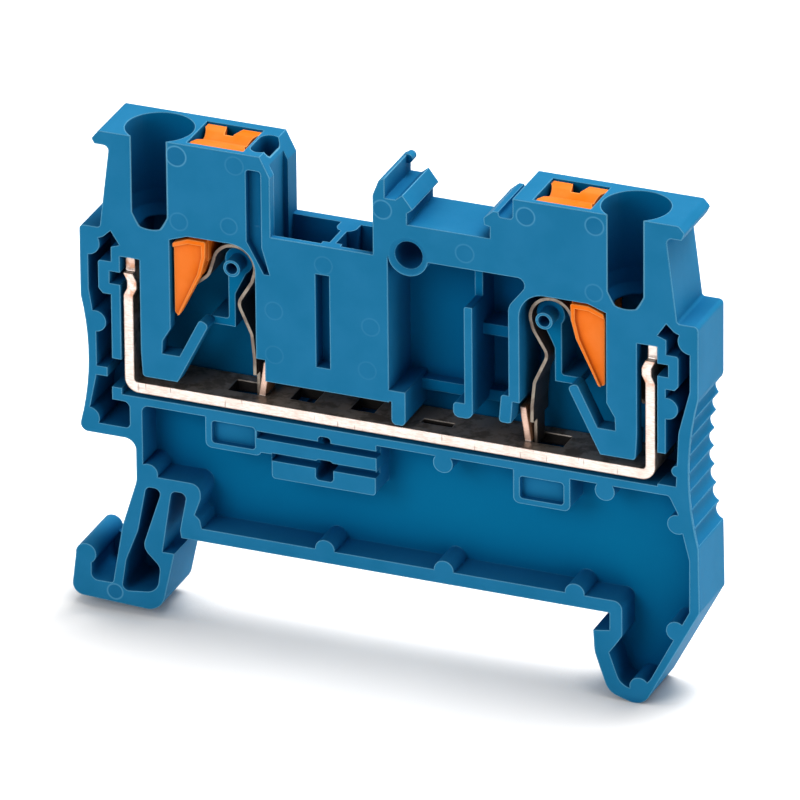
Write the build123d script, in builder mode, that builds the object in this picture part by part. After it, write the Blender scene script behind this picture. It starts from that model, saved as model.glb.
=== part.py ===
"""Feed-through terminal block for a 35 mm rail, with push-in entries and release buttons.

X runs along the block, Y across its width and Z up. The origin is the middle of the rail seat.
The open face is at the low Y side. Outlines are drawn looking at that face, as (x, z, corner radius).
"""
from math import sqrt
import os

from build123d import *

os.makedirs("parts", exist_ok=True)

# Block and rail
width = 5.2
floor_thickness = 0.8
floor_depth = width - floor_thickness
lower_depth = 2.6
top_z = 32.45
deck_z = 26.05
side_x = 24.5
rail_half = 17.5
rail_slot = 1.45

# Skins and small details; overlap is how far a piece runs into its neighbour so that the two fuse
skin = 0.45
piece_gap = 0.2
plate_thickness = 0.9
boss_radius = 0.78
overlap = 0.1

# Wire funnels
funnel_x = 18.83
funnel_radius = 2.6
funnel_back_wall = 0.4
funnel_depth = width - funnel_back_wall - funnel_radius
taper_top = 26.25
throat_z = 25.2
throat_radius = 2.33
wire_radius = 1.6
guide_half = 1.2
guide_tip_depth = floor_depth - overlap

# Spring cavities and wire chambers
cavity_inner_x = 10.45
cavity_top = 25.0
cavity_round = 2.0
chamber_top = 24.5
plate_inner_x = 17.3
plate_outer_x = 19.7
chamber_outer_x = 20.4
stop_bottom = 12.9
stop_top = 15.03
pivot = (12.37, 22.93)
ring_radius = 0.66
ring_hole = 0.45
ring_depth = 0.1
ring_hole_depth = 1.6
core_radius = 1.1
guard_depth = 1.5
arm_depth = 1.35

# Button shafts and buttons
shaft_inner_x = 11.45
shaft_outer_x = 15.95
shaft_back = floor_depth
button_gap = 0.1
button_top = 32.3
button_foot = 26.1
waist = 0.4
notch_width = 1.3
notch_size = 1.2
cheek_front = 0.1
cheek_thickness = 0.75
panel_depth = 0.35
pusher_front = 0.95
pusher_gap = 0.3
pusher_back = shaft_back - pusher_gap

# Current bar
bar_end_x = 21.08
bar_bottom = 11.4
bar_thickness = 0.85
bar_top = bar_bottom + bar_thickness
bar_front = 0.1
bar_back = floor_depth - piece_gap
upright_thickness = 0.75
upright_top = 19.3
bend_outer = 1.1
bend_inner = 0.3
ledge_z = 11.1
slot_outer_x = 21.3
slot_top = 22.45
window_size = (1.95, 2.2)
window_x = (-7.5, -2.7)
window_margin = 0.4
window_depth = bar_back - window_margin - window_size[1] / 2
spare_window = (2.5, 0.7)
spare_x = 3.25
spare_depth = 1.8
tab_window = (2.5, 1.9)
tab_window_x = 11.9
tab_depth = 2.3
tab_top = 15.0
tab_lean = 0.42
tab_thickness = 0.5
tab_x = 10.6

# Clamping springs
leaf_thickness = 0.25
leaf_front = 1.05
leaf_back = bar_back - piece_gap
leaf_shoulder = 14.0
tongue_width = 1.5
tongue_bottom = 11.9

# Bridge shafts
bridge_x = -5.1
bridge_left = -9.2
bridge_right = -1.15
web_x = -4.58
web_thickness = 0.5
web_foot = (1.55, 0.4)
web_boss_radius = 0.8
web_boss_inset = 0.65
web_boss_depth = floor_depth - web_boss_inset
panel_right = 0.1
panel_bottom = 14.2
panel_groove = 1.1
groove_depth = 1.3

# Rounded boss with the hole in the centre post
post_hole = (1.7, 26.4)
post_boss_radius = 1.6
post_hole_radius = 1.1
post_flare_radius = 1.5
post_flare_angle = 120

# Grip grooves on both ends
grip_pitch = 1.45
grip_groove_radius = 0.85
grip_groove_depth = 0.35
grip_rim = 0.2


def at_depth(depth):
    """Sketch plane parallel to the open face and depth behind it."""
    return Plane.XZ.offset(width / 2 - depth)


def y_at(depth):
    """Y value at a depth behind the open face."""
    return depth - width / 2


def outline(corners):
    """Closed outline through (x, z, corner radius) corners."""
    points = [(x, z) for x, z, radius in corners]
    radii = [radius for x, z, radius in corners]
    return FilletPolyline(points, radius=radii, close=True)


def flipped(corners):
    """The same corners on the other side of the middle plane."""
    return [(-x, z, radius) for x, z, radius in reversed(corners)]


# Outer shape of the moulding, clockwise from the left overhang
left_foot = [
    (-20.25, 7.55, 0.9),
    (-20.25, 4.1, 2.0),
    (-21.45, 0.2, 4.0),
    (-22.3, -4.75, 0.2),
    (-24.05, -4.75, 0.5),
    (-24.03, -2.7, 0),
    (-25.28, -2.7, 0),
    (-25.7, -6.15, 0.9),
    (-18.4, -6.5, 1.5),
    (-17.3, -rail_slot, 0),
    (-18.25, -rail_slot, 0),
    (-17.45, 3.75, 0.45),
    (-16.2, 3.75, 0.45),
    (-16.8, 0.6, 0.4),
    (-16.7, 0.0, 0),
]
right_foot = [
    (rail_half, 0.0, 0),
    (rail_half, -rail_slot, 0),
    (16.2, -1.65, 0),
    (16.3, -3.4, 3.0),
    (17.4, -6.55, 1.4),
    (20.1, -7.35, 1.3),
    (24.6, 1.2, 0.5),
]
right_tower = [
    (side_x, 7.0, 3.0),
    (side_x, 24.55, 0.35),
    (22.85, 24.55, 0.25),
    (22.0, 31.35, 0.4),
    (23.2, 31.35, 0),
    (23.45, 31.9, 0.2),
    (22.95, top_z, 0.3),
    (10.0, top_z, 0),
    (10.0, 30.8, 0.25),
    (8.95, 30.8, 0.2),
    (8.85, 31.2, 0),
    (8.45, 31.2, 0),
    (7.7, 30.55, 0.2),
    (7.75, 30.0, 0),
    (8.2, 29.9, 0),
    (8.2, 28.95, 0),
]
centre_post = [
    (1.65, 28.95, 0),
    (1.65, 29.85, 0),
    (2.1, 30.2, 0),
    (1.3, 31.25, 0),
    (0.75, 30.8, 0),
    (-0.1, 30.8, 0),
    (-0.1, 32.4, 0),
    (-0.55, 32.2, 0.3),
    (-1.05, 30.9, 0.6),
    (-1.05, deck_z, 0),
]
left_tower = [
    (bridge_left, deck_z, 0),
    (bridge_left, 30.85, 0),
    (-10.0, top_z, 0),
    (-22.85, top_z, 0.3),
    (-23.4, 31.75, 0.2),
    (-23.15, 31.35, 0),
    (-22.0, 31.35, 0.4),
    (-22.85, 24.55, 0.25),
    (-side_x, 24.55, 0.35),
    (-side_x, 10.0, 2.0),
    (-24.75, 7.55, 0.6),
]

# Rounded tip of the pry lug on the springy foot
lug_tip = (-24.47, -2.68)
lug_radius = 0.82

# Concave grips: x of the deepest point, its z, radius of the curve and the z values of the grooves
grips = [
    (23.75, 12.6, 25.2, [17.55 - grip_pitch * step for step in range(8)]),
    (-23.95, 13.9, 22.0, [17.75 - grip_pitch * step for step in range(6)]),
]

with BuildSketch(at_depth(width)) as silhouette:
    with BuildLine():
        outline(left_tower + left_foot + right_foot + right_tower + centre_post)
    make_face()
    for deepest_x, deepest_z, curve, grooves in grips:
        centre_x = deepest_x + curve if deepest_x > 0 else deepest_x - curve
        with Locations((centre_x, deepest_z)):
            Circle(curve, mode=Mode.SUBTRACT)
    with Locations(lug_tip):
        Circle(lug_radius)

with BuildPart() as grip_cutter:
    for deepest_x, deepest_z, curve, grooves in grips:
        side = 1 if deepest_x > 0 else -1
        for groove_z in grooves:
            surface_x = abs(deepest_x) + curve - sqrt(curve**2 - (groove_z - deepest_z) ** 2)
            groove_x = side * (surface_x + grip_groove_radius - grip_groove_depth)
            with Locations((groove_x, y_at(grip_rim), groove_z)):
                Cylinder(
                    grip_groove_radius,
                    width - grip_rim + overlap,
                    rotation=(-90, 0, 0),
                    align=(Align.CENTER, Align.CENTER, Align.MIN),
                )

# Plate behind the pry pocket of the springy foot, and the bead on the post's label catch
catch_bead = (0.0, 32.1)
catch_bead_radius = 0.36
pry_back_corners = [
    (-24.9, -4.9, 0),
    (-24.9, -2.4, 0),
    (-24.2, -2.2, 0),
    (-23.5, -2.8, 0.3),
    (-21.6, -3.1, 0),
    (-21.9, -4.9, 0),
]
with BuildSketch(at_depth(width)) as back_pieces:
    with BuildLine():
        outline(pry_back_corners)
    make_face()
    with Locations(catch_bead):
        Circle(catch_bead_radius)

# Recess under the bar, down into the fixed foot, and the deeper pocket in the springy foot
# Blocks, grooves and holes are given as (x, z, length, height)
lower_corners = [
    (-19.7, 10.45, 0.5),
    (22.2, 10.45, 0.3),
    (22.85, 9.2, 0),
    (23.8, 5.4, 1.0),
    (23.8, 1.15, 0),
    (20.7, -5.0, 0.4),
    (19.7, -6.05, 0.5),
    (18.35, -5.8, 1.2),
    (17.45, -3.3, 0),
    (17.95, -2.6, 0.2),
    (18.5, -1.75, 0.3),
    (18.5, 1.05, 0.7),
    (-15.05, 1.05, 0),
    (-15.2, 1.75, 0.2),
    (-15.6, 2.1, 0),
    (-15.1, 3.5, 0.2),
    (-15.1, 4.7, 0.8),
    (-19.7, 4.7, 0),
]
frames = [(-12.37, 9.3), (12.17, 9.1)]
frame_bottom = 1.35
frame_size = (4.5, 3.7)
frame_round = 0.5
frame_pocket = (3.45, 1.8)
frame_pocket_round = 0.25
frame_pocket_depth = 0.5
lower_bosses = [
    (4.35, 9.95), (17.15, 9.95), (22.85, 8.2), (22.75, -0.6), (19.85, -5.75),
    (-19.3, 4.9), (-5.15, 1.1), (4.35, 1.1), (14.75, 1.1),
]
upper_block = (-5.7, 9.4, 9.5, 2.3)
lower_block = (-5.17, 7.65, 8.3, 2.7)
block_round = 0.3
foot_pocket_corners = [
    (-19.5, 3.75, 0.45),
    (-18.2, 3.75, 0.45),
    (-19.85, -1.35, 1.0),
    (-18.45, -2.75, 0.8),
    (-18.7, -4.9, 1.1),
    (-21.6, -5.25, 0.45),
    (-21.2, -2.6, 2.0),
    (-20.2, 0.0, 3.0),
]
with BuildSketch(at_depth(floor_depth)) as foot_pocket:
    with BuildLine():
        outline(foot_pocket_corners)
    make_face()

with BuildSketch(at_depth(lower_depth)) as lower_recess:
    with BuildLine():
        outline(lower_corners)
    make_face()
    with Locations(*[(x, z - frame_bottom + frame_size[1] / 2) for x, z in frames]):
        RectangleRounded(*frame_size, frame_round, mode=Mode.SUBTRACT)
    with Locations(upper_block[:2]):
        Rectangle(*upper_block[2:], mode=Mode.SUBTRACT)
    with Locations(lower_block[:2]):
        RectangleRounded(*lower_block[2:], block_round, mode=Mode.SUBTRACT)
    with Locations(*lower_bosses):
        Circle(boss_radius, mode=Mode.SUBTRACT)

# Spring cavity with the wire chamber and the slot for the bar's upright, alike at both ends
cavity_corners = [
    (cavity_inner_x, panel_bottom - 1, 0),
    (cavity_inner_x, cavity_top, cavity_round),
    (15.85, cavity_top, 0),
    (17.25, chamber_top, 0),
    (chamber_outer_x, chamber_top, 0),
    (chamber_outer_x, slot_top, 0),
    (slot_outer_x, slot_top, 0),
    (slot_outer_x, 21.1, 0),
    (22.15, 21.1, 0),
    (22.15, 20.1, 0),
    (slot_outer_x, 20.1, 0),
    (slot_outer_x, panel_bottom - 1, 0),
]
latch_corners = [
    (22.0, 21.9, 0),
    (22.0, 23.1, 0),
    (21.3, 23.35, 0),
    (22.0, 24.42, 0),
    (22.6, 23.85, 0),
    (23.84, 23.3, 0),
    (23.84, 21.9, 0),
]
latch_boss = (23.9, 23.2)
latch_boss_radius = 1.0
tab_notch_x = 9.75
tab_notch_top = 15.95
tab_notch_width = 1.0
with BuildSketch(at_depth(floor_depth)) as end_recesses:
    with BuildLine():
        outline(cavity_corners)
    make_face()
    with BuildLine():
        outline(latch_corners)
    make_face()
    with Locations(latch_boss):
        Circle(latch_boss_radius, mode=Mode.SUBTRACT)
    with Locations((tab_notch_x, panel_bottom - 1)):
        Rectangle(tab_notch_width, tab_notch_top - panel_bottom + 1, align=(Align.MIN, Align.MIN))
    mirror(about=Plane.YZ)
    with Locations((0, ledge_z)):
        Rectangle(2 * slot_outer_x, panel_bottom - ledge_z, align=(Align.CENTER, Align.MIN))

# Side pockets outside the bar's uprights, different at the two ends
right_pocket_corners = [
    (slot_outer_x - overlap, 11.3, 0),
    (slot_outer_x - overlap, 13.85, 0),
    (21.95, 13.85, 0),
    (21.95, 19.1, 0),
    (22.65, 19.1, 0),
    (22.95, 19.45, 0),
    (22.95, 21.75, 0),
    (22.65, 22.05, 0),
    (22.0, 22.05, 0),
    (22.0, 22.2, 0),
    (23.84, 22.2, 0),
    (23.84, 19.2, 0),
    (22.95, 15.7, 2.0),
    (22.75, 11.3, 0),
]
left_pocket_corners = [
    (slot_outer_x - overlap, 11.6, 0),
    (slot_outer_x - overlap, 13.95, 0),
    (22.05, 13.95, 0),
    (22.05, 19.2, 0),
    (22.7, 19.2, 0),
    (23.05, 19.6, 0),
    (23.05, 21.75, 0),
    (22.75, 22.05, 0),
    (22.0, 22.05, 0),
    (22.0, 22.2, 0),
    (23.84, 22.2, 0),
    (23.84, 19.4, 0),
    (23.3, 16.0, 1.0),
    (23.3, 12.6, 1.0),
    (24.0, 9.2, 0.3),
    (23.6, 8.4, 0),
    (20.7, 8.4, 0.35),
    (20.7, 10.55, 0.5),
    (22.1, 10.55, 0),
    (22.1, 11.6, 0),
]
pocket_bosses = [(22.05, 17.55), (-23.35, 16.8), (-24.0, 8.75)]
pocket_boss_radius = 0.86
small_boss = (22.85, 12.55)
small_boss_radius = 0.45
pocket_block = (-22.95, 12.75, 1.0, 0.75)
with BuildSketch(at_depth(floor_depth)) as side_pockets:
    with BuildLine():
        outline(right_pocket_corners)
    make_face()
    with BuildLine():
        outline(flipped(left_pocket_corners))
    make_face()
    with Locations(*pocket_bosses):
        Circle(pocket_boss_radius, mode=Mode.SUBTRACT)
    with Locations(small_boss):
        Circle(small_boss_radius, mode=Mode.SUBTRACT)
    with Locations(pocket_block[:2]):
        Rectangle(*pocket_block[2:], mode=Mode.SUBTRACT)

# Recess right of the centre panel
right_bay_corners = [
    (panel_right, panel_bottom - 1, 0),
    (panel_right, 26.15, 0),
    (10.95, 26.15, 0.55),
    (10.85, 25.3, 0.4),
    (9.6, 23.7, 1.2),
    (9.6, panel_bottom - 1, 0),
]
with BuildSketch(at_depth(floor_depth)) as right_bay:
    with BuildLine():
        outline(right_bay_corners)
    make_face()
    with Locations(post_hole):
        Circle(post_boss_radius, mode=Mode.SUBTRACT)

# Ribs whose feet hold the bar down
rib_left = 6.1
rib_right = 6.75
rib_top = 23.05
rib_back_depth = 2.2
bay_top = 26.2
bay_right = 9.7
left_keeper = [
    (0.0, 15.2, 0),
    (1.4, 15.2, 0),
    (1.4, 12.45, 0.4),
    (0.3, 12.45, 0.4),
    (0.3, 14.3, 0),
    (0.0, 14.3, 0),
]
rib_keeper = [
    (rib_left, rib_top, 0.2),
    (rib_right, rib_top, 0),
    (rib_right, 13.95, 0.6),
    (5.2, 13.95, 0.5),
    (5.2, 15.15, 0.3),
    (rib_left, 15.15, 0),
]
right_keeper = [
    (9.7, 16.4, 0),
    (9.0, 16.4, 0.25),
    (8.8, 14.15, 0.3),
    (9.75, 14.15, 0.3),
    (9.9, 16.0, 0),
    (9.9, 16.4, 0),
]
with BuildSketch(at_depth(floor_depth)) as bar_keepers:
    for keeper in (left_keeper, rib_keeper, right_keeper):
        with BuildLine():
            outline(keeper)
        make_face()

cross_rib_z = 20.0
cross_rib_height = 0.9
with BuildSketch(at_depth(floor_depth)) as set_back_ribs:
    with Locations((rib_left, rib_top - 0.5)):
        Rectangle(rib_right - rib_left, bay_top - rib_top + 0.5, align=(Align.MIN, Align.MIN))
    with Locations((rib_right - overlap, cross_rib_z)):
        Rectangle(bay_right - rib_right + overlap, cross_rib_height, align=(Align.MIN, Align.MIN))

rear_keeper_z = 14.0
rear_keeper_height = 0.9
rear_keeper_reach = 1.0
with BuildSketch(at_depth(floor_depth)) as rear_keeper:
    with Locations((panel_right - overlap, rear_keeper_z)):
        Rectangle(bay_right - panel_right + 2 * overlap, rear_keeper_height, align=(Align.MIN, Align.MIN))

# Seats under the bar, and the wire stops with their slanting arms
seat_places = [-17.5, -9.0, 0.0, 9.0, 17.5]
seat_length = 2.4
with BuildSketch(at_depth(floor_depth)) as bar_seats:
    with Locations(*[(seat_x, ledge_z - overlap) for seat_x in seat_places]):
        Rectangle(seat_length, bar_bottom - ledge_z + overlap, align=(Align.CENTER, Align.MIN))

stop_corners = [
    (16.8, stop_bottom, 0),
    (14.25, 17.95, 0.3),
    (14.95, 18.35, 0.3),
    (16.6, stop_top, 0),
    (plate_outer_x, stop_top, 0),
    (plate_outer_x - 0.12, stop_bottom, 0.3),
]
with BuildSketch(at_depth(arm_depth)) as wire_stops:
    with BuildLine():
        outline(stop_corners)
    make_face()
    mirror(about=Plane.YZ)

plate_corners = [
    (plate_inner_x, chamber_top + overlap, 0),
    (plate_inner_x, 17.2, 0.2),
    (17.95, 16.1, 0.2),
    (18.0, stop_top - overlap, 0),
    (plate_outer_x, stop_top - overlap, 0),
    (plate_outer_x, slot_top, 0),
    (chamber_outer_x + overlap, slot_top, 0),
    (chamber_outer_x + overlap, chamber_top + overlap, 0),
]
with BuildSketch(at_depth(plate_thickness)) as chamber_plates:
    with BuildLine():
        outline(plate_corners)
    make_face()
    mirror(about=Plane.YZ)

# Cores inside the spring loops, each with a guard wall that runs out to the wire stop
guard_corners = [
    (12.68, 20.2, 0.5),
    (12.68, 17.48, 0),
    (14.7, 17.48, 0),
    (14.7, 18.1, 0),
    (13.23, 18.1, 0.2),
    (13.23, 22.6, 0),
    (11.6, 22.4, 0),
]
with BuildSketch(at_depth(floor_depth)) as guards:
    with BuildLine():
        outline(guard_corners)
    make_face()
    with Locations(pivot):
        Circle(core_radius)
    mirror(about=Plane.YZ)

with BuildSketch(at_depth(floor_depth)) as rings:
    with Locations(pivot):
        Circle(ring_radius)
    mirror(about=Plane.YZ)

with BuildSketch(at_depth(ring_depth)) as ring_holes:
    with Locations(pivot):
        Circle(ring_hole)
    mirror(about=Plane.YZ)

# Half section of a wire funnel, turned about its axis, and the guide notch behind the wire hole
with BuildSketch(at_depth(funnel_depth)) as funnel_section:
    with BuildLine():
        Polyline(
            (funnel_x, top_z + 1),
            (funnel_x + funnel_radius, top_z + 1),
            (funnel_x + funnel_radius, taper_top),
            (funnel_x + throat_radius, throat_z),
            (funnel_x + wire_radius, chamber_top),
            (funnel_x + wire_radius, chamber_top - overlap),
            (funnel_x, chamber_top - overlap),
            close=True,
        )
    make_face()

with BuildSketch(Plane.XY.offset(throat_z)) as wire_guides:
    with BuildLine():
        Polyline(
            (funnel_x - guide_half, y_at(funnel_depth)),
            (funnel_x + guide_half, y_at(funnel_depth)),
            (funnel_x, y_at(guide_tip_depth)),
            close=True,
        )
    make_face()
    mirror(about=Plane.YZ)

with BuildPart() as funnels:
    revolve(funnel_section.sketch, axis=Axis((funnel_x, y_at(funnel_depth), 0), (0, 0, 1)))
    mirror(about=Plane.YZ)
    extrude(wire_guides.sketch, amount=chamber_top - throat_z - overlap)

# Grooves and holes cut from the open face
tower_groove_depth = 0.7
tower_groove_corners = [
    (-11.1, 31.25, 0.25),
    (-9.92, 31.25, 0.25),
    (-9.92, 25.1, 0),
    (-9.3, 22.95, 0),
    (-9.75, 22.95, 0),
    (-11.1, 25.4, 0),
]
with BuildSketch(at_depth(tower_groove_depth)) as tower_groove:
    with BuildLine():
        outline(tower_groove_corners)
    make_face()

panel_groove_middle = 19.9
panel_groove_length = 7.6
with BuildSketch(at_depth(groove_depth)) as panel_groove_cut:
    with Locations((bridge_x, panel_groove_middle)):
        Rectangle(panel_groove, panel_groove_length)

block_grooves = [(-5.7, 9.68, 9.6, 0.58), (-5.15, 8.05, 8.3, 0.62)]
with BuildSketch(at_depth(plate_thickness)) as block_groove_cut:
    for groove_x, groove_z, length, height in block_grooves:
        with Locations((groove_x, groove_z)):
            Rectangle(length, height)

block_holes = [(bridge_x, 9.9, 1.0, 1.05), (bridge_x, 7.65, 1.4, 1.7)]
with BuildSketch(at_depth(floor_depth)) as block_hole_cut:
    for hole_x, hole_z, length, height in block_holes:
        with Locations((hole_x, hole_z)):
            RectangleRounded(length, height, block_round)

with BuildSketch(at_depth(frame_pocket_depth)) as frame_pockets:
    with Locations(*frames):
        RectangleRounded(*frame_pocket, frame_pocket_round)

# Plan views of the upright shafts, drawn at the heights where they start
with BuildSketch(Plane.XY.offset(top_z)) as button_shafts:
    with Locations(((shaft_inner_x + shaft_outer_x) / 2, y_at((skin + shaft_back) / 2))):
        Rectangle(shaft_outer_x - shaft_inner_x, shaft_back - skin)
    mirror(about=Plane.YZ)

test_hole = (-10.5, 2.3)
test_hole_size = (3.1, 1.5)
test_hole_bottom = 26.4
with BuildSketch(Plane.XY.offset(top_z)) as test_shaft:
    with Locations((test_hole[0], y_at(test_hole[1]))):
        SlotOverall(*test_hole_size, rotation=90)

shaft_y = y_at((skin + floor_depth) / 2)
shaft_reach = floor_depth - skin
with BuildSketch(Plane.XY.offset(deck_z)) as bridge_shafts:
    with Locations(((bridge_left + bridge_right) / 2, shaft_y)):
        Rectangle(bridge_right - bridge_left, shaft_reach)
    with Locations((web_x, shaft_y)):
        Rectangle(web_thickness, shaft_reach, mode=Mode.SUBTRACT)
    with Locations((web_x, y_at(skin))):
        Rectangle(*web_foot, align=(Align.CENTER, Align.MIN), mode=Mode.SUBTRACT)
    with Locations((web_x, y_at(web_boss_depth))):
        Circle(web_boss_radius, mode=Mode.SUBTRACT)
        Rectangle(
            2 * web_boss_radius,
            floor_depth - web_boss_depth,
            align=(Align.CENTER, Align.MIN),
            mode=Mode.SUBTRACT,
        )

groove_backing = (1.9, 1.35)
backing_top = 24.2
with BuildSketch(Plane.XY.offset(panel_bottom)) as panel_backing:
    with Locations((bridge_x, y_at(skin - overlap))):
        Rectangle(*groove_backing, align=(Align.CENTER, Align.MIN))

key_slot_depth = 0.35
key_slot_front = 0.8
key_slot_back = 3.5
key_slot_bottom = 18.0
with BuildSketch(Plane.XY.offset(key_slot_bottom)) as key_slot:
    with Locations((bridge_left - key_slot_depth, y_at(key_slot_front))):
        Rectangle(key_slot_depth + overlap, key_slot_back - key_slot_front, align=(Align.MIN, Align.MIN))

with BuildPart() as housing:
    extrude(silhouette.sketch, amount=width)
    extrude(back_pieces.sketch, amount=floor_thickness)
    add(grip_cutter.part, mode=Mode.SUBTRACT)
    extrude(lower_recess.sketch, amount=lower_depth, mode=Mode.SUBTRACT)
    extrude(foot_pocket.sketch, amount=floor_depth, mode=Mode.SUBTRACT)
    extrude(end_recesses.sketch, amount=floor_depth, mode=Mode.SUBTRACT)
    extrude(side_pockets.sketch, amount=floor_depth, mode=Mode.SUBTRACT)
    extrude(right_bay.sketch, amount=floor_depth, mode=Mode.SUBTRACT)
    extrude(bridge_shafts.sketch, amount=panel_bottom - deck_z - 0.5, mode=Mode.SUBTRACT)
    extrude(panel_backing.sketch, amount=backing_top - panel_bottom)
    extrude(key_slot.sketch, amount=top_z - key_slot_bottom, mode=Mode.SUBTRACT)
    extrude(bar_keepers.sketch, amount=floor_depth)
    extrude(set_back_ribs.sketch, amount=floor_depth - rib_back_depth)
    extrude(rear_keeper.sketch, amount=rear_keeper_reach)
    extrude(bar_seats.sketch, amount=floor_depth - plate_thickness)
    extrude(wire_stops.sketch, amount=arm_depth)
    extrude(chamber_plates.sketch, amount=plate_thickness)
    extrude(guards.sketch, amount=floor_depth - guard_depth)
    extrude(rings.sketch, amount=floor_depth - ring_depth)
    extrude(ring_holes.sketch, amount=-ring_hole_depth, mode=Mode.SUBTRACT)
    extrude(button_shafts.sketch, amount=cavity_top - top_z - 0.5, mode=Mode.SUBTRACT)
    extrude(test_shaft.sketch, amount=test_hole_bottom - top_z, mode=Mode.SUBTRACT)
    extrude(tower_groove.sketch, amount=tower_groove_depth, mode=Mode.SUBTRACT)
    extrude(panel_groove_cut.sketch, amount=groove_depth, mode=Mode.SUBTRACT)
    extrude(block_groove_cut.sketch, amount=plate_thickness, mode=Mode.SUBTRACT)
    extrude(block_hole_cut.sketch, amount=floor_depth, mode=Mode.SUBTRACT)
    extrude(frame_pockets.sketch, amount=frame_pocket_depth, mode=Mode.SUBTRACT)
    add(funnels.part, mode=Mode.SUBTRACT)
    with Locations(at_depth(0) * Pos(*post_hole, 0)):
        CounterSinkHole(post_hole_radius, post_flare_radius, depth=width, counter_sink_angle=post_flare_angle)

housing.part.label = "housing"
export_step(housing.part, "parts/housing.step")

# Current bar: one strip with both ends bent up, each end with a neck and a head
neck_step = 0.3
neck_rise = 0.6
neck_length = 0.6
neck_round = 0.3
neck_low = upright_top + neck_rise
neck_high = neck_low + neck_length
head_bottom = neck_high + neck_rise
head_height = 1.1
head_top = head_bottom + head_height
head_round = 0.15
upright_inner_x = bar_end_x - upright_thickness
upright_half = [
    (bar_end_x, bar_bottom, bend_outer),
    (bar_end_x, upright_top, neck_round),
    (bar_end_x - neck_step, neck_low, neck_round),
    (bar_end_x - neck_step, neck_high, neck_round),
    (bar_end_x, head_bottom, neck_round),
    (bar_end_x, head_top, head_round),
    (upright_inner_x, head_top, head_round),
    (upright_inner_x, head_bottom, neck_round),
    (upright_inner_x - neck_step, neck_high, neck_round),
    (upright_inner_x - neck_step, neck_low, neck_round),
    (upright_inner_x, upright_top, neck_round),
    (upright_inner_x, bar_top, bend_inner),
]
with BuildSketch(at_depth(bar_back)) as bar_profile:
    with BuildLine():
        outline(upright_half + flipped(upright_half))
    make_face()

tab_base = tab_x - tab_thickness / 2
with BuildSketch(at_depth(tab_depth + tab_window[1] / 2)) as tab_profile:
    with BuildLine():
        outline(
            [
                (tab_base, bar_top - overlap, 0),
                (tab_base - tab_lean, tab_top, 0),
                (tab_base - tab_lean + tab_thickness, tab_top, 0),
                (tab_base + tab_thickness, bar_top - overlap, 0),
            ]
        )
    make_face()
    mirror(about=Plane.YZ)

with BuildSketch(Plane.XY.offset(bar_top)) as bar_windows:
    with Locations(*[(x, y_at(window_depth)) for x in window_x]):
        Rectangle(*window_size)
    with Locations((spare_x, y_at(spare_depth))):
        Rectangle(*spare_window)
    for side in (-1, 1):
        with Locations((side * (tab_base + tab_thickness + tab_window[0] / 2), y_at(tab_depth))):
            Rectangle(*tab_window)

head_narrowing = 0.5
with BuildPart() as bus_bar:
    extrude(bar_profile.sketch, amount=bar_back - bar_front)
    with Locations(
        (0, y_at(bar_front), head_bottom),
        (0, y_at(bar_back - head_narrowing), head_bottom),
    ):
        Box(
            2 * bar_end_x + 1,
            head_narrowing,
            head_top - head_bottom + 1,
            align=(Align.CENTER, Align.MIN, Align.MIN),
            mode=Mode.SUBTRACT,
        )
    extrude(tab_profile.sketch, amount=tab_window[1])
    extrude(bar_windows.sketch, amount=-bar_thickness, mode=Mode.SUBTRACT)

bus_bar.part.label = "bus bar"
export_step(bus_bar.part, "parts/bus_bar.step")

# Clamping spring: a strip bent into a fixed leg, a loop round the core and a clamping leg
loop_radius = 1.66
loop_centre = (12.58, 22.65)
fixed_leg = [(11.02, tongue_bottom), (11.02, 15.3), (11.22, 17.3), (12.3, 19.7), (11.15, 21.6)]
clamp_tip = (19.8, 17.2)
clamp_knee = (14.62, 21.6)
loop_start_angle = 190
loop_end_angle = 10
leg_bend = 0.9
knee_bend = 1.2


def on_loop(angle):
    """Point on the middle line of the spring's loop."""
    return Vector(*loop_centre) + Vector(loop_radius, 0).rotate(Axis.Z, angle)


with BuildSketch(at_depth(leaf_back)) as leaf_profile:
    with BuildLine():
        FilletPolyline(*fixed_leg, on_loop(loop_start_angle), radius=leg_bend)
        CenterArc(loop_centre, loop_radius, loop_start_angle, loop_end_angle - loop_start_angle)
        FilletPolyline(on_loop(loop_end_angle), clamp_knee, clamp_tip, radius=knee_bend)
        offset(amount=leaf_thickness / 2, side=Side.BOTH)
    make_face()

leaf_width = leaf_back - leaf_front
shoulder = (leaf_width - tongue_width) / 2
shoulder_cut_x = 1.4
with BuildPart() as spring_right:
    extrude(leaf_profile.sketch, amount=leaf_width)
    with Locations((cavity_inner_x, y_at(leaf_front), 0), (cavity_inner_x, y_at(leaf_back - shoulder), 0)):
        Box(
            shoulder_cut_x,
            shoulder,
            leaf_shoulder,
            align=(Align.MIN, Align.MIN, Align.MIN),
            mode=Mode.SUBTRACT,
        )

# Release button: a waisted block with a driver valley on top, a cheek in front and a pusher below
button_x = (shaft_inner_x + shaft_outer_x) / 2
button_half = (shaft_outer_x - shaft_inner_x) / 2 - button_gap
button_front = skin + button_gap
button_back = shaft_back - button_gap
valley_setback = 1.85
button_middle = y_at(button_front + valley_setback)
waist_half = 1.35
waist_radius = (waist_half**2 + waist**2) / (2 * waist)
notch_angle = 75
with BuildSketch(Plane.XY.offset(button_foot)) as button_plan:
    with Locations((button_x, y_at((button_front + button_back) / 2))):
        Rectangle(2 * button_half, button_back - button_front)
    for side in (-1, 1):
        with Locations((button_x + side * (button_half + waist_radius - waist), button_middle)):
            Circle(waist_radius, mode=Mode.SUBTRACT)
    with Locations((button_x, y_at(button_back))):
        with Locations((0, -notch_size / 2)):
            Trapezoid(notch_width, notch_size, notch_angle, rotation=180, mode=Mode.SUBTRACT)

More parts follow.
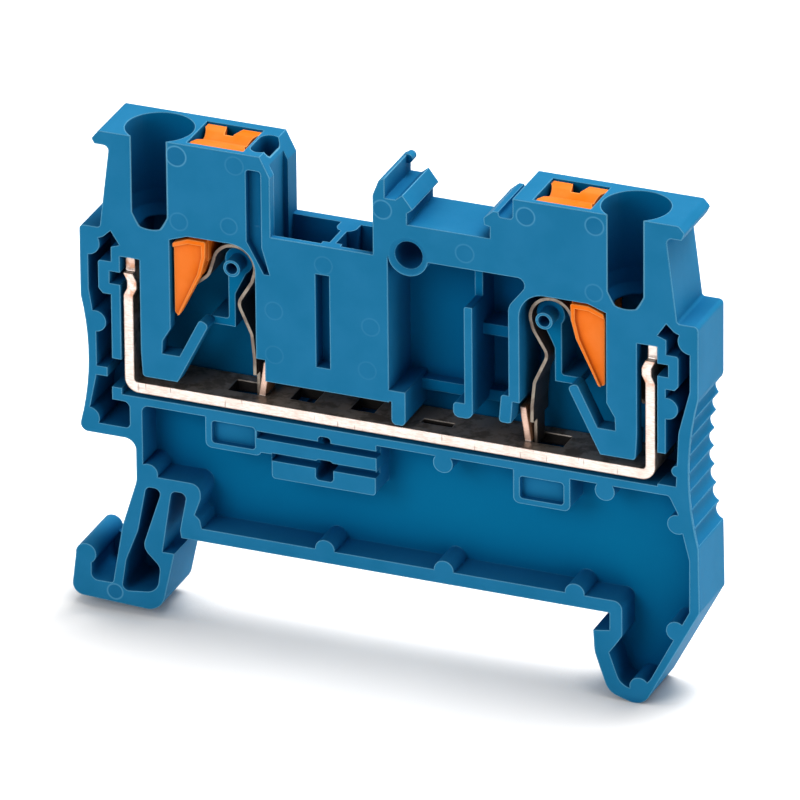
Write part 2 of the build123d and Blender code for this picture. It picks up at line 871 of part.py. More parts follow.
valley_half = 0.85
valley_drop = 0.35
with BuildSketch(Plane.YZ) as button_valley:
    with BuildLine():
        Polyline(
            (button_middle - valley_half, button_top),
            (button_middle, button_top - valley_drop),
            (button_middle + valley_half, button_top),
            close=True,
        )
    make_face()

pusher_corners = [
    (14.35, button_foot + overlap, 0),
    (15.8, button_foot + overlap, 0),
    (15.8, 24.72, 0.2),
    (16.95, 24.25, 0.2),
    (16.95, 20.0, 0.15),
    (14.95, 21.7, 0.3),
    (14.55, 22.9, 0.3),
    (14.35, 24.3, 0),
]
with BuildSketch(at_depth(pusher_back)) as pusher:
    with BuildLine():
        outline(pusher_corners)
    make_face()

cheek_corners = [
    (14.45, 24.72, 0.15),
    (15.85, 24.72, 0.3),
    (17.07, 24.25, 0.15),
    (17.05, 18.25, 0.22),
    (16.62, 18.4, 0.15),
    (14.87, 21.95, 0.8),
    (14.5, 23.4, 0.6),
]
with BuildSketch(at_depth(cheek_front + cheek_thickness)) as cheek:
    with BuildLine():
        outline(cheek_corners)
    make_face()

# Shallow panel in the cheek, with a rim left above it and on the spring's side
panel_corners = [
    (14.8, 24.35, 0),
    (15.85, 24.35, 0),
    (17.2, 23.85, 0),
    (17.2, 18.0, 0),
    (16.95, 18.0, 0),
    (15.15, 21.95, 0.8),
    (14.8, 23.4, 0),
]
with BuildSketch(at_depth(panel_depth)) as cheek_panel:
    with BuildLine():
        outline(panel_corners)
    make_face()

neck_x = 15.1
neck_bottom = 23.0
neck_width = 1.4
neck_back = pusher_front + 0.2
with BuildSketch(at_depth(neck_back)) as cheek_neck:
    with Locations((neck_x, neck_bottom)):
        Rectangle(neck_width, button_foot - neck_bottom + overlap, align=(Align.CENTER, Align.MIN))

with BuildPart() as button_right:
    extrude(button_plan.sketch, amount=button_top - button_foot)
    extrude(button_valley.sketch, amount=shaft_outer_x + 1, mode=Mode.SUBTRACT)
    extrude(pusher.sketch, amount=pusher_back - pusher_front)
    extrude(cheek.sketch, amount=cheek_thickness)
    extrude(cheek_neck.sketch, amount=neck_back - button_front)
    extrude(cheek_panel.sketch, amount=panel_depth, mode=Mode.SUBTRACT)

for name, piece in (("spring", spring_right), ("button", button_right)):
    for side in ("right", "left"):
        shape = piece.part if side == "right" else piece.part.mirror(Plane.YZ)
        shape.label = name + " " + side
        export_step(shape, "parts/" + name + "_" + side + ".step")
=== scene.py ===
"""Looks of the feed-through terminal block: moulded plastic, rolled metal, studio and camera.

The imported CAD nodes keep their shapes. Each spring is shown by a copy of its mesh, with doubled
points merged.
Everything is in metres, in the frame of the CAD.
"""

from math import cos, radians, sin

import bpy
from mathutils import Matrix, Vector


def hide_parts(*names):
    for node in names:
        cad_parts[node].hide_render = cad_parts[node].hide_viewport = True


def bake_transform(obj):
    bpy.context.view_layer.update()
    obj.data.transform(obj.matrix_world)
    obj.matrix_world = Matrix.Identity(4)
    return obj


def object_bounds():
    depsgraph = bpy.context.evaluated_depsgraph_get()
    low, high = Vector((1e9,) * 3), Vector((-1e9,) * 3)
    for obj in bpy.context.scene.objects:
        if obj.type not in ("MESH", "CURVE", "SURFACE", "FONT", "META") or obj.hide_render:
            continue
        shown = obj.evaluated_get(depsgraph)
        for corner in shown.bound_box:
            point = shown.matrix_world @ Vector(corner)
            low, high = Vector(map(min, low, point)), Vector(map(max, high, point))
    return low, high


MM = 0.001

# Camera, worked out from the edges of the block in the photograph
VIEW_AZIMUTH = radians(22.27)
VIEW_ELEVATION = radians(26.12)
VIEW_ROLL = radians(-0.539)
VIEW_DISTANCE = 1132.7 * MM
VIEW_TO_THE_RIGHT = 0.791 * MM
VIEW_UPWARDS = 12.908 * MM
PIXELS_PER_METRE = 13502.5
PICTURE_SIZE = 800
SENSOR_WIDTH = 36.0

# Places on the block, as part.py has them
BLOCK_WIDTH = 5.2 * MM
OPEN_FACE_Y = -BLOCK_WIDTH / 2
BAR_FRONT_Y = OPEN_FACE_Y + 0.1 * MM
BAR_TOP_Z = 12.25 * MM
TAB_X = 10.5 * MM
TAB_REACH = 0.7 * MM
NECK_Z = 20.6 * MM
NECK_REACH = 1.9 * MM
TIP_Z = 20.9 * MM

# Points of a spring's copy that lie closer than this are merged
MERGE_GAP = 0.001 * MM

# Marks that the ejector pins leave on the open face, as (x, z, radius) in millimetres and strength
PIN_MARKS = [
    (-16.65, 31.4, 0.80, 1.0),
    (16.4, 31.35, 0.72, 0.7),
    (11.0, 31.2, 0.72, 0.8),
    (-0.3, 29.85, 0.74, 0.7),
    (-22.15, -5.45, 0.62, 0.9),
    (-12.0, 31.4, 0.72, 0.25),
    (-12.5, 26.4, 0.66, 0.3),
    (-16.5, 26.1, 0.70, 0.3),
    (16.35, 25.95, 0.68, 0.35),
    (6.2, 27.4, 0.72, 0.35),
    (-9.0, 20.1, 0.70, 0.2),
    (-1.3, 20.1, 0.70, 0.2),
    (-1.6, 16.5, 0.70, 0.15),
    (-9.0, 16.5, 0.70, 0.15),
    (-5.0, 24.5, 0.70, 0.2),
]
PIN_RIM = 0.11 * MM
PIN_DEPTH = 0.06 * MM

# Colours, linear
WHITE = (1, 1, 1, 1)
BLUE = (0.0155, 0.188, 0.378, 1)
BLUE_CLOUD = (0.011, 0.172, 0.348, 1)
# Painted shade on front-facing recess floors behind the open face
BLUE_RECESS_SHADE = (0.0, 0.162, 0.342, 1)
# Painted shade for creases and hollows
BLUE_CREASE_SHADE = (0.0, 0.068, 0.205, 1)
# Painted highlight for edges that stand out
BLUE_EDGE_HIGHLIGHT = (0.17, 0.50, 0.74, 1)
ORANGE = (1.0, 0.232, 0.036, 1)
ORANGE_CLOUD = (0.93, 0.175, 0.004, 1)
# Painted shade for creases and hollows
ORANGE_CREASE_SHADE = (0.45, 0.055, 0.0, 1)
# Painted highlight for edges that stand out
ORANGE_EDGE_HIGHLIGHT = (1.0, 0.42, 0.12, 1)
TIN = (0.84, 0.75, 0.70, 1)
TIN_STREAK = (0.62, 0.52, 0.47, 1)
COPPER = (0.62, 0.27, 0.13, 1)
OUTLINE_BROWN = (0.17, 0.085, 0.05, 1)
BAR_FACE = (0.105, 0.083, 0.063, 1)
BAR_FACE_LIGHT = (0.24, 0.20, 0.165, 1)
# Painted highlight on the bar's rims
BAR_RIM_HIGHLIGHT = (0.42, 0.37, 0.33, 1)
# Painted shade in the bar's windows and hollows
BAR_HOLLOW_SHADE = (0.006, 0.006, 0.007, 1)
SPRING_EDGE = (0.165, 0.128, 0.104, 1)
SPRING_EDGE_LIGHT = (0.28, 0.24, 0.195, 1)
SPRING_FACE = (0.075, 0.058, 0.048, 1)
FLOOR = (0.87, 0.855, 0.84, 1)

# Spans of openness, which is 1 in the open and less in a hollow, from a mask's 0 to its 1
EDGE_OPENNESS = (0.50, 0.80)
GROOVE_OPENNESS = (0.95, 0.55)
HOLLOW_OPENNESS = (0.97, 0.25)
# The floor's glow fades into a painted shadow near the block
FLOOR_SHADOW_OPENNESS = (0.5, 1.0)

# Spans of a normal's part along an axis or along another normal, from a mask's 0 to its 1
EDGE_BEND = (0.98, 0.83)
# Facing of the recess floors that get painted shade
RECESS_SHADE_FACING = (-0.5, -0.8)
BAR_FRONT_FACING = (-0.7, -0.9)
WINDOW_FACING = (0.5, 0.3)
SPRING_CUT_FACING = (0.6, 0.8)

# Spans of place, from a mask's 0 to its 1
ON_OPEN_FACE_Y = (OPEN_FACE_Y + 0.02 * MM, OPEN_FACE_Y + 0.01 * MM)
# Depth behind the open face over which the painted recess shade comes in
RECESS_SHADE_Y = (OPEN_FACE_Y + 0.1 * MM, OPEN_FACE_Y + 1.5 * MM)
BAR_FRONT = (BAR_FRONT_Y + 0.03 * MM, BAR_FRONT_Y + 0.01 * MM)
TAB_SIDE = (TAB_REACH, TAB_REACH - 0.1 * MM)
TAB_RISE = (BAR_TOP_Z, BAR_TOP_Z + 0.1 * MM)
TIP_RISE = (TIP_Z, TIP_Z + 0.1 * MM)
NECK_SPAN = (NECK_REACH, 0.6 * NECK_REACH)
WINDOW_SINK = (BAR_TOP_Z - 0.02 * MM, BAR_TOP_Z - 0.12 * MM)

# Spans of noise, from a mask's 0 to its 1
CLOUD_SPAN = (0.3, 0.7)
STREAK_SPAN = (0.35, 0.75)
STAIN_SPAN = (0.42, 0.62)
TICK_SPAN = (0.66, 0.74)

# Noise, as the size of its spots, its detail and its roughness, and how much a strip stretches it
GRAIN_NOISE = (0.12 * MM, 3.0, 0.6)
CLOUD_NOISE = (3 * MM, 3.0, 0.5)
STREAK_NOISE = (0.06 * MM, 3.0, 0.6)
STAIN_NOISE = (1.3 * MM, 4.0, 0.65)
TICK_NOISE = (0.28 * MM, 1.0, 0.5)
ALONG_THE_STRIP = (0.12, 1.0, 1.0)
ACROSS_THE_STRIP = (1.0, 0.0, 0.15)

# Rays that a node sends out to round an edge or to look around
NODE_RAYS = 8

# How far a material rounds its edges and looks around
PLASTIC_ROUNDING = 0.21 * MM
PLASTIC_REACH = 6 * MM
BAR_ROUNDING = 0.17 * MM
SPRING_ROUNDING = 0.05 * MM
METAL_REACH = 2 * MM
# How far the floor looks for the block to paint its shadow
FLOOR_SHADOW_REACH = 14 * MM

# A groove is looked for within a share of that reach, and counts as a share of a deep hollow in the
# painted crease shade
GROOVE_SHARE_OF_REACH = 0.14
GROOVE_SHARE_OF_HOLLOW = 0.55

# Shares of 1 with which one colour covers another
# Painted shade in creases and hollows
CREASE_SHADE_SHARE = 0.92
# Painted highlight on edges that stand out
PALE_EDGE_HIGHLIGHT_SHARE = 0.74
# Painted shade inside a pin mark and a painted highlight on its rim
PIN_SHADE_SHARE = 0.24
PIN_RIM_HIGHLIGHT_SHARE = 0.40
NECK_COPPER = 0.85
STAIN_COPPER = 0.16
TAB_FRONT_COPPER = 0.5
TAB_FACE_COPPER = 0.7
TICK_SHARE = 0.55
OUTLINE_SHARE = 0.70
# Painted highlight on the bar's rims
RIM_HIGHLIGHT_SHARE = 0.8
# Painted shade in the bar's windows and hollows
BAR_HOLLOW_SHADE_SHARE = 0.9

# Roughness, gloss, metal and bump of each finish
SATIN_ROUGHNESS = 0.42
SATIN_GLOSS = 0.03
GRAIN_ADDS_ROUGHNESS = 0.16
CREASE_ADDS_ROUGHNESS = 0.45
GRAIN_HEIGHT = 0.10
PLASTIC_BUMP = 0.6
BAR_ROUGHNESS = 0.36
STAIN_ADDS_ROUGHNESS = 0.12
BAR_METALLIC = 0.45
CUT_ADDS_METALLIC = 0.35
BAR_BUMP = 0.35
BAR_STREAK_DEPTH = 0.02 * MM
SPRING_ROUGHNESS = 0.32
STREAK_ADDS_ROUGHNESS = 0.2
SPRING_METALLIC = 0.6
SPRING_BUMP = 0.25
SPRING_STREAK_DEPTH = 0.01 * MM

# Studio: the floor, the light from all around, and lamps as name, place, side and watts
FLOOR_SIZE = 6
FLOOR_ROUGHNESS = 0.9
FLOOR_GLOW = 0.62
WORLD_LIGHT = 0.32
LAMP_AIM = (0, 0, 0.013)
LAMPS = [
    ("key_lamp", (0.10, 0.14, 0.42), 0.25, 2.2),
    ("front_lamp", (-0.22, -0.45, 0.26), 0.30, 1.2),
    ("side_lamp", (0.50, -0.12, 0.06), 0.16, 0.55),
]

# Colour sockets of a Mix node
MIX_FIRST, MIX_SECOND, MIX_RESULT = 6, 7, 2


def new_group(name, inputs, outputs):
    """An empty shader node group; its inputs and outputs are (name, type)."""
    group = bpy.data.node_groups.new(name, "ShaderNodeTree")
    for way, sockets in (("INPUT", inputs), ("OUTPUT", outputs)):
        for label, kind in sockets:
            group.interface.new_socket(label, in_out=way, socket_type="NodeSocket" + kind)
    start = group.nodes.new("NodeGroupInput")
    end = group.nodes.new("NodeGroupOutput")
    return group, start.outputs, end.inputs


class Wiring:
    """Adds nodes to one node tree; a value that is a socket is linked and any other is set."""

    def __init__(self, tree):
        self.tree = tree

    def node(self, kind, **settings):
        made = self.tree.nodes.new("ShaderNode" + kind)
        for key, value in settings.items():
            setattr(made, key, value)
        return made

    def put(self, socket, value):
        if isinstance(value, bpy.types.NodeSocket):
            self.tree.links.new(value, socket)
        elif value is not None:
            socket.default_value = value

    def math(self, operation, first, second=None, third=None):
        made = self.node("Math", operation=operation)
        for socket, value in zip(made.inputs, (first, second, third)):
            self.put(socket, value)
        return made.outputs[0]

    def times(self, first, second):
        return self.math("MULTIPLY", first, second)

    def larger(self, first, second):
        return self.math("MAXIMUM", first, second)

    def add_share(self, mask, share, plain):
        """The plain value plus a share where the mask is 1."""
        return self.math("MULTIPLY_ADD", mask, share, plain)

    def distance(self, value, place):
        """How far a value is from a place on its axis."""
        return self.math("ABSOLUTE", self.math("SUBTRACT", value, place))

    def vector(self, operation, first, second):
        made = self.node("VectorMath", operation=operation)
        self.put(made.inputs[0], first)
        self.put(made.inputs[1], second)
        return made.outputs["Value"] if operation in ("DOT_PRODUCT", "DISTANCE") else made.outputs[0]

    def split(self, vector):
        made = self.node("SeparateXYZ")
        self.put(made.inputs[0], vector)
        return made.outputs

    def ramp(self, value, span, smooth=True):
        """0 up to the span's first value and 1 from its second on, whichever of them is larger."""
        kind = "SMOOTHSTEP" if smooth else "LINEAR"
        made = self.node("MapRange", interpolation_type=kind)
        first, second = span
        backwards = second < first
        self.put(made.inputs["Value"], value)
        made.inputs["From Min"].default_value = min(span)
        made.inputs["From Max"].default_value = max(span)
        made.inputs["To Min"].default_value = 1.0 if backwards else 0.0
        made.inputs["To Max"].default_value = 0.0 if backwards else 1.0
        return made.outputs["Result"]

    def blend(self, share, first, second):
        made = self.node("Mix", data_type="RGBA")
        self.put(made.inputs["Factor"], share)
        self.put(made.inputs[MIX_FIRST], first)
        self.put(made.inputs[MIX_SECOND], second)
        return made.outputs[MIX_RESULT]

    def noise(self, vector, spots):
        size, detail, roughness = spots
        made = self.node("TexNoise")
        self.put(made.inputs["Vector"], vector)
        made.inputs["Scale"].default_value = 1 / size
        made.inputs["Detail"].default_value = detail
        made.inputs["Roughness"].default_value = roughness
        return made.outputs["Fac"]

    def bump(self, height, normal, depth, strength):
        made = self.node("Bump")
        self.put(made.inputs["Height"], height)
        self.put(made.inputs["Normal"], normal)
        made.inputs["Distance"].default_value = depth
        made.inputs["Strength"].default_value = strength
        return made.outputs["Normal"]

    def openness(self, reach, **settings):
        """1 in the open, and less the more of its surroundings within reach is filled."""
        made = self.node("AmbientOcclusion", samples=NODE_RAYS, **settings)
        self.put(made.inputs["Distance"], reach)
        return made.outputs["AO"]

    def facing(self):
        """The parts of the surface's own normal along X, Y and Z."""
        return self.split(self.node("NewGeometry").outputs["True Normal"])

    def group(self, group, **values):
        made = self.node("Group", node_tree=group)
        for key, value in values.items():
            self.put(made.inputs[key], value)
        return made.outputs


def edge_highlight_and_crease_shade_group():
    """Normals that round each edge, a mask of the edges that stand out, which get a painted
    highlight, and one of the creases, hollows and gaps beside other parts, which get painted shade.
    """
    group, starts, ends = new_group(
        "worn_edges",
        [("Radius", "Float"), ("Reach", "Float")],
        [("Normal", "Vector"), ("Edge", "Float"), ("Crease", "Float")],
    )
    wire = Wiring(group)
    bevel = wire.node("Bevel", samples=NODE_RAYS)
    wire.put(bevel.inputs["Radius"], starts["Radius"])
    rounded = bevel.outputs["Normal"]
    openness = wire.openness(starts["Reach"], only_local=True)
    # A short look around that also counts other parts, for painted shade in grooves and in gaps
    # beside them
    beside = wire.openness(wire.times(starts["Reach"], GROOVE_SHARE_OF_REACH))
    groove = wire.times(wire.ramp(beside, GROOVE_OPENNESS), GROOVE_SHARE_OF_HOLLOW)
    hollow = wire.ramp(openness, HOLLOW_OPENNESS, smooth=False)
    flat = wire.node("NewGeometry").outputs["True Normal"]
    bend = wire.ramp(wire.vector("DOT_PRODUCT", rounded, flat), EDGE_BEND)
    wire.put(ends["Normal"], rounded)
    # Edge: the mask of edges that stand out, where the plastic and the bar's rolled faces get a
    # painted highlight
    wire.put(ends["Edge"], wire.times(bend, wire.ramp(openness, EDGE_OPENNESS)))
    # Crease: the mask where painted shade darkens hollows, grooves and gaps beside other parts
    wire.put(ends["Crease"], wire.larger(hollow, groove))
    return group


def moulding_and_recess_shade_group():
    """Fine grain and slow clouding of a moulded surface, and a mask of its recess floors, where shade
    is painted.
    """
    group, starts, ends = new_group(
        "moulded_surface",
        [("Vector", "Vector")],
        [("Grain", "Float"), ("Cloud", "Float"), ("Polish", "Float")],
    )
    wire = Wiring(group)
    # Front-facing floors behind the open face get painted shade
    forward = wire.ramp(wire.facing()["Y"], RECESS_SHADE_FACING)
    behind = wire.ramp(wire.split(starts["Vector"])["Y"], RECESS_SHADE_Y)
    wire.put(ends["Polish"], wire.times(behind, forward))
    wire.put(ends["Grain"], wire.noise(starts["Vector"], GRAIN_NOISE))
    wire.put(ends["Cloud"], wire.ramp(wire.noise(starts["Vector"], CLOUD_NOISE), CLOUD_SPAN))
    return group


def pin_marks_group():
    """Round witness marks of the ejector pins on the open face: a sunken middle that also gets
    painted shade, and a ring around it that gets a painted highlight.
    """
    group, starts, ends = new_group(
        "pin_marks",
        [("Vector", "Vector")],
        [("Depth", "Float"), ("Rim", "Float")],
    )
    wire = Wiring(group)
    place = wire.split(starts["Vector"])
    flat = wire.node("CombineXYZ")
    wire.put(flat.inputs["X"], place["X"])
    wire.put(flat.inputs["Z"], place["Z"])
    on_face = wire.ramp(place["Y"], ON_OPEN_FACE_Y, smooth=False)
    depth, rims = 0.0, 0.0
    for x, z, radius, strength in PIN_MARKS:
        gap = wire.vector("DISTANCE", flat.outputs[0], (x * MM, 0, z * MM))
        inside = wire.ramp(gap, (radius * MM, radius * MM - PIN_RIM))
        around = wire.ramp(gap, (radius * MM + PIN_RIM, radius * MM))
        depth = wire.add_share(inside, strength, depth)
        rims = wire.add_share(wire.math("SUBTRACT", around, inside), strength, rims)
    wire.put(ends["Depth"], wire.times(depth, on_face))
    wire.put(ends["Rim"], wire.times(rims, on_face))
    return group


def rolled_metal_group():
    """Fine streaks along the strip, slow stains and the thin ticks that shearing leaves across it."""
    group, starts, ends = new_group(
        "rolled_metal",
        [("Vector", "Vector")],
        [("Streaks", "Float"), ("Stain", "Float"), ("Ticks", "Float")],
    )
    wire = Wiring(group)
    along = wire.vector("MULTIPLY", starts["Vector"], ALONG_THE_STRIP)
    across = wire.vector("MULTIPLY", starts["Vector"], ACROSS_THE_STRIP)
    wire.put(ends["Streaks"], wire.noise(along, STREAK_NOISE))
    wire.put(ends["Stain"], wire.ramp(wire.noise(starts["Vector"], STAIN_NOISE), STAIN_SPAN))
    wire.put(ends["Ticks"], wire.ramp(wire.noise(across, TICK_NOISE), TICK_SPAN))
    return group


def new_material(name):
    """A material with its wiring, its Principled shader and its object coordinates."""
    material = bpy.data.materials.new(name)
    material.use_nodes = True
    wire = Wiring(material.node_tree)
    shader = material.node_tree.nodes["Principled BSDF"].inputs
    place = wire.node("TexCoord").outputs["Object"]
    return material, wire, shader, place


def moulded_plastic(name, groups, colours, marks=False):
    """Satin polyamide with a painted pale highlight on its edges, painted shade in its creases and
    painted shade on its recess floors.
    """
    body, cloud, recess_shade, crease, edge = colours
    material, wire, shader, place = new_material(name)
    edges = wire.group(groups["edges"], Radius=PLASTIC_ROUNDING, Reach=PLASTIC_REACH)
    surface = wire.group(groups["moulding"], Vector=place)
    paint = wire.blend(surface["Cloud"], cloud, body)
    # Painted shade on recess floors
    paint = wire.blend(surface["Polish"], paint, recess_shade)
    # Painted shade in creases, hollows and gaps beside other parts
    paint = wire.blend(wire.times(edges["Crease"], CREASE_SHADE_SHARE), paint, crease)
    height = wire.times(surface["Grain"], GRAIN_HEIGHT)
    # Painted highlight along the edges that stand out
    pale = wire.times(edges["Edge"], PALE_EDGE_HIGHLIGHT_SHARE)
    if marks:
        pins = wire.group(groups["pins"], Vector=place)
        height = wire.math("SUBTRACT", height, pins["Depth"])
        # Painted shade inside the pin marks, and a painted highlight on their rims
        paint = wire.blend(wire.times(pins["Depth"], PIN_SHADE_SHARE), paint, crease)
        pale = wire.larger(pale, wire.times(pins["Rim"], PIN_RIM_HIGHLIGHT_SHARE))
    satin = wire.add_share(surface["Grain"], GRAIN_ADDS_ROUGHNESS, SATIN_ROUGHNESS)
    rough = wire.add_share(edges["Crease"], CREASE_ADDS_ROUGHNESS, satin)
    # The pale edge colour is a painted highlight
    wire.put(shader["Base Color"], wire.blend(pale, paint, edge))
    wire.put(shader["Roughness"], rough)
    wire.put(shader["Normal"], wire.bump(height, edges["Normal"], PIN_DEPTH, PLASTIC_BUMP))
    shader["Specular IOR Level"].default_value = SATIN_GLOSS
    return material


def cut_front(wire, edges, metal, tab, height):
    """Colour of the bar's cut faces: streaked tin, copper at the necks and tabs, brown outline."""
    neck = wire.times(wire.ramp(wire.distance(height, NECK_Z), NECK_SPAN), metal["Stain"])
    copper = wire.larger(wire.times(neck, NECK_COPPER), wire.times(metal["Stain"], STAIN_COPPER))
    copper = wire.larger(copper, wire.times(tab, TAB_FRONT_COPPER))
    paint = wire.blend(wire.ramp(metal["Streaks"], STREAK_SPAN), TIN, TIN_STREAK)
    paint = wire.blend(copper, paint, COPPER)
    paint = wire.blend(wire.times(metal["Ticks"], TICK_SHARE), paint, OUTLINE_BROWN)
    return wire.blend(wire.times(edges["Edge"], OUTLINE_SHARE), paint, OUTLINE_BROWN)


def rolled_faces(wire, edges, metal, tab, height, facing):
    """Colour of the bar's rolled faces: dull and stained, with a painted highlight on the rims and
    painted shade in the windows and hollows.
    """
    upright = wire.ramp(wire.math("ABSOLUTE", facing["Z"]), WINDOW_FACING)
    # The walls of the bar's windows and its creases get painted shade
    window_wall = wire.times(upright, wire.ramp(height, WINDOW_SINK))
    dark = wire.larger(edges["Crease"], window_wall)
    paint = wire.blend(metal["Stain"], BAR_FACE_LIGHT, BAR_FACE)
    # Painted highlight on the rims of the rolled faces
    paint = wire.blend(wire.times(edges["Edge"], RIM_HIGHLIGHT_SHARE), paint, BAR_RIM_HIGHLIGHT)
    paint = wire.blend(wire.times(tab, TAB_FACE_COPPER), paint, COPPER)
    return wire.blend(wire.times(dark, BAR_HOLLOW_SHADE_SHARE), paint, BAR_HOLLOW_SHADE)


def tinned_bar(groups):
    """Tinned copper strip: bright cut front with copper showing, dull rolled faces."""
    material, wire, shader, place = new_material("tinned_copper")
    edges = wire.group(groups["edges"], Radius=BAR_ROUNDING, Reach=METAL_REACH)
    metal = wire.group(groups["metal"], Vector=place)
    spot = wire.split(place)
    facing = wire.facing()
    beside_tab = wire.distance(wire.math("ABSOLUTE", spot["X"]), TAB_X)
    tab = wire.times(wire.ramp(beside_tab, TAB_SIDE), wire.ramp(spot["Z"], TAB_RISE))
    raised = wire.larger(tab, wire.ramp(spot["Z"], TIP_RISE))
    foremost = wire.ramp(spot["Y"], BAR_FRONT, smooth=False)
    cut = wire.times(wire.larger(foremost, raised), wire.ramp(facing["Y"], BAR_FRONT_FACING))
    front = cut_front(wire, edges, metal, tab, spot["Z"])
    rolled = rolled_faces(wire, edges, metal, tab, spot["Z"], facing)
    bumps = wire.bump(metal["Streaks"], edges["Normal"], BAR_STREAK_DEPTH, BAR_BUMP)
    wire.put(shader["Base Color"], wire.blend(cut, rolled, front))
    wire.put(shader["Normal"], bumps)
    wire.put(shader["Roughness"], wire.add_share(metal["Stain"], STAIN_ADDS_ROUGHNESS, BAR_ROUGHNESS))
    wire.put(shader["Metallic"], wire.add_share(cut, CUT_ADDS_METALLIC, BAR_METALLIC))
    return material


def spring_steel(groups):
    """Rolled spring strip: dark faces and brown-grey cut edges."""
    material, wire, shader, place = new_material("spring_steel")
    edges = wire.group(groups["edges"], Radius=SPRING_ROUNDING, Reach=METAL_REACH)
    metal = wire.group(groups["metal"], Vector=place)
    cut = wire.ramp(wire.math("ABSOLUTE", wire.facing()["Y"]), SPRING_CUT_FACING)
    edge = wire.blend(metal["Stain"], SPRING_EDGE_LIGHT, SPRING_EDGE)
    bumps = wire.bump(metal["Streaks"], edges["Normal"], SPRING_STREAK_DEPTH, SPRING_BUMP)
    rough = wire.add_share(metal["Streaks"], STREAK_ADDS_ROUGHNESS, SPRING_ROUGHNESS)
    wire.put(shader["Base Color"], wire.blend(cut, SPRING_FACE, edge))
    wire.put(shader["Normal"], bumps)
    wire.put(shader["Roughness"], rough)
    shader["Metallic"].default_value = SPRING_METALLIC
    return material


def bending_springs(nodes):
    """Copies of both springs, with doubled points merged, in place of the hidden CAD springs."""
    leaves = {}
    for side, way in (("left", -1), ("right", 1)):
        spring = "spring_" + side
        bpy.ops.object.select_all(action="DESELECT")
        leaf = bpy.data.objects.new("spring_leaf_" + side, nodes[spring].data.copy())
        bpy.context.scene.collection.objects.link(leaf)
        bpy.context.view_layer.objects.active = leaf
        leaf.select_set(True)
        bpy.ops.object.mode_set(mode="EDIT")
        bpy.ops.mesh.select_all(action="SELECT")
        bpy.ops.mesh.remove_doubles(threshold=MERGE_GAP)
        bpy.ops.object.mode_set(mode="OBJECT")
        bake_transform(leaf)
        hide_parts(spring)
        leaves[leaf.name] = leaf
    return leaves


def dress(pieces):
    """Gives every node and piece its material, by the start of its name."""
    groups = {
        "edges": edge_highlight_and_crease_shade_group(),
        "moulding": moulding_and_recess_shade_group(),
        "pins": pin_marks_group(),
        "metal": rolled_metal_group(),
    }
    blues = (BLUE, BLUE_CLOUD, BLUE_RECESS_SHADE, BLUE_CREASE_SHADE, BLUE_EDGE_HIGHLIGHT)
    oranges = (ORANGE, ORANGE_CLOUD, ORANGE, ORANGE_CREASE_SHADE, ORANGE_EDGE_HIGHLIGHT)
    finishes = {
        "housing": moulded_plastic("blue_plastic", groups, blues, marks=True),
        "button": moulded_plastic("orange_plastic", groups, oranges),
        "bus_bar": tinned_bar(groups),
        "spring": spring_steel(groups),
    }
    for name, piece in pieces.items():
        finish = next(made for start, made in finishes.items() if name.startswith(start))
        piece.data.materials.clear()
        piece.data.materials.append(finish)


def seen_rays(wire):
    """1 for rays that show the background: from the camera, in gloss or through glass."""
    path = wire.node("LightPath")
    shown = wire.larger(path.outputs["Is Camera Ray"], path.outputs["Is Glossy Ray"])
    return wire.larger(shown, path.outputs["Is Transmission Ray"])


def studio_floor(height):
    """White floor that keeps the shadow of the block; its glow also fades near the block into a
    painted shadow.
    """
    bpy.ops.object.select_all(action="DESELECT")
    bpy.ops.mesh.primitive_plane_add(size=FLOOR_SIZE, location=(0, 0, height))
    floor = bpy.context.object
    floor.name = "studio_floor"
    material, wire, shader, _ = new_material("studio_floor")
    shader["Base Color"].default_value = FLOOR
    shader["Roughness"].default_value = FLOOR_ROUGHNESS
    shader["Specular IOR Level"].default_value = 0
    shader["Emission Color"].default_value = WHITE
    # Painted shadow: the floor's glow fades where the block stands near
    lit = wire.ramp(wire.openness(FLOOR_SHADOW_REACH), FLOOR_SHADOW_OPENNESS, smooth=False)
    glow = wire.times(seen_rays(wire), wire.times(lit, FLOOR_GLOW))
    wire.put(shader["Emission Strength"], glow)
    floor.data.materials.append(material)


def studio_world():
    """Even pale light; the background itself is white."""
    world = bpy.data.worlds.new("studio")
    world.use_nodes = True
    bpy.context.scene.world = world
    wire = Wiring(world.node_tree)
    background = world.node_tree.nodes["Background"]
    background.inputs["Color"].default_value = WHITE
    strength = wire.add_share(seen_rays(wire), 1 - WORLD_LIGHT, WORLD_LIGHT)
    wire.put(background.inputs["Strength"], strength)


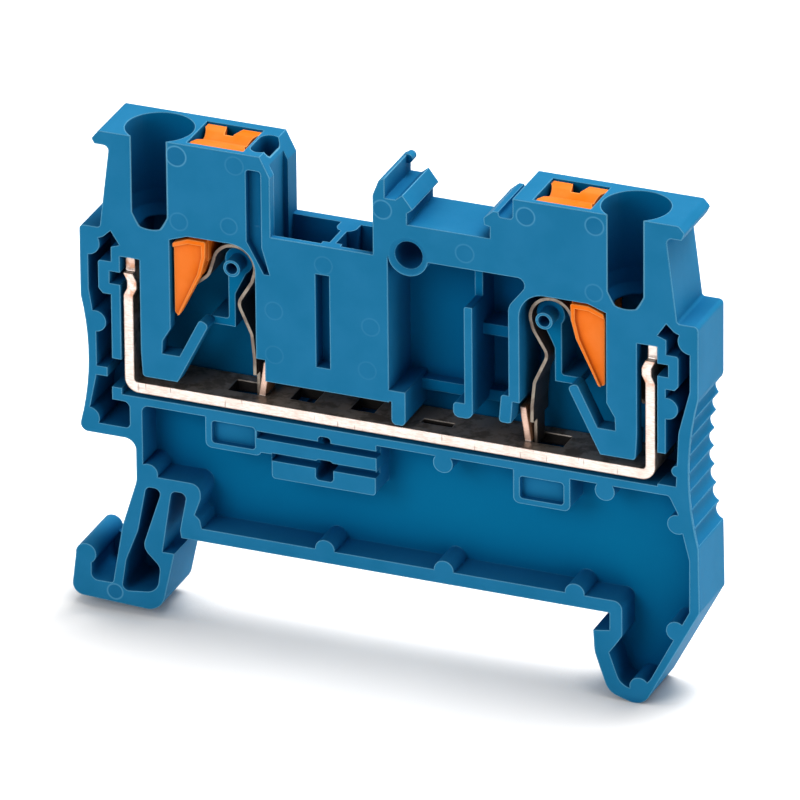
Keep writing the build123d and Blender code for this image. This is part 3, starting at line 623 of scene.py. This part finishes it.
def studio_lamps():
    """Soft square lamps, all pointed at the middle of the block."""
    for name, place, side, watts in LAMPS:
        light = bpy.data.lights.new(name, "AREA")
        light.size = side
        light.energy = watts
        lamp = bpy.data.objects.new(name, light)
        bpy.context.scene.collection.objects.link(lamp)
        lamp.location = place
        lamp.rotation_euler = (Vector(LAMP_AIM) - Vector(place)).to_track_quat("-Z", "Y").to_euler()


def photo_camera():
    """Camera at the photograph's angle, distance and framing."""
    back = Vector((
        sin(VIEW_AZIMUTH) * cos(VIEW_ELEVATION),
        -cos(VIEW_AZIMUTH) * cos(VIEW_ELEVATION),
        sin(VIEW_ELEVATION),
    ))
    level = Vector((cos(VIEW_AZIMUTH), sin(VIEW_AZIMUTH), 0))
    upright = back.cross(level)
    right = cos(VIEW_ROLL) * level + sin(VIEW_ROLL) * upright
    up = -sin(VIEW_ROLL) * level + cos(VIEW_ROLL) * upright
    place = right * VIEW_TO_THE_RIGHT + up * VIEW_UPWARDS + back * VIEW_DISTANCE
    place.y += OPEN_FACE_Y
    camera = bpy.data.objects.new("photo_camera", bpy.data.cameras.new("photo_camera"))
    bpy.context.scene.collection.objects.link(camera)
    camera.matrix_world = Matrix.Translation(place) @ Matrix((right, up, back)).transposed().to_4x4()
    camera.data.sensor_width = SENSOR_WIDTH
    camera.data.lens = PIXELS_PER_METRE * VIEW_DISTANCE * SENSOR_WIDTH / PICTURE_SIZE
    bpy.context.scene.camera = camera


def as_lists(corners):
    return [list(corner) for corner in corners]


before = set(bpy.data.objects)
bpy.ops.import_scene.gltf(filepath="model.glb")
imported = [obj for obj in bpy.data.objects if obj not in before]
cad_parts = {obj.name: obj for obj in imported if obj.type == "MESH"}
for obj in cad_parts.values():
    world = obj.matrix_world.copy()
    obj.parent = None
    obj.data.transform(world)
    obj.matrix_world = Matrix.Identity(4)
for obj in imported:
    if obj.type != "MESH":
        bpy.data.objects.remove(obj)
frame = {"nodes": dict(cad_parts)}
cad_box = as_lists(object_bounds())
dress(frame["nodes"] | bending_springs(frame["nodes"]))
lowest_corner = cad_box[0]
studio_floor(height=lowest_corner[2])
studio_world()
studio_lamps()
photo_camera()
bpy.context.scene.view_settings.view_transform = "Standard"
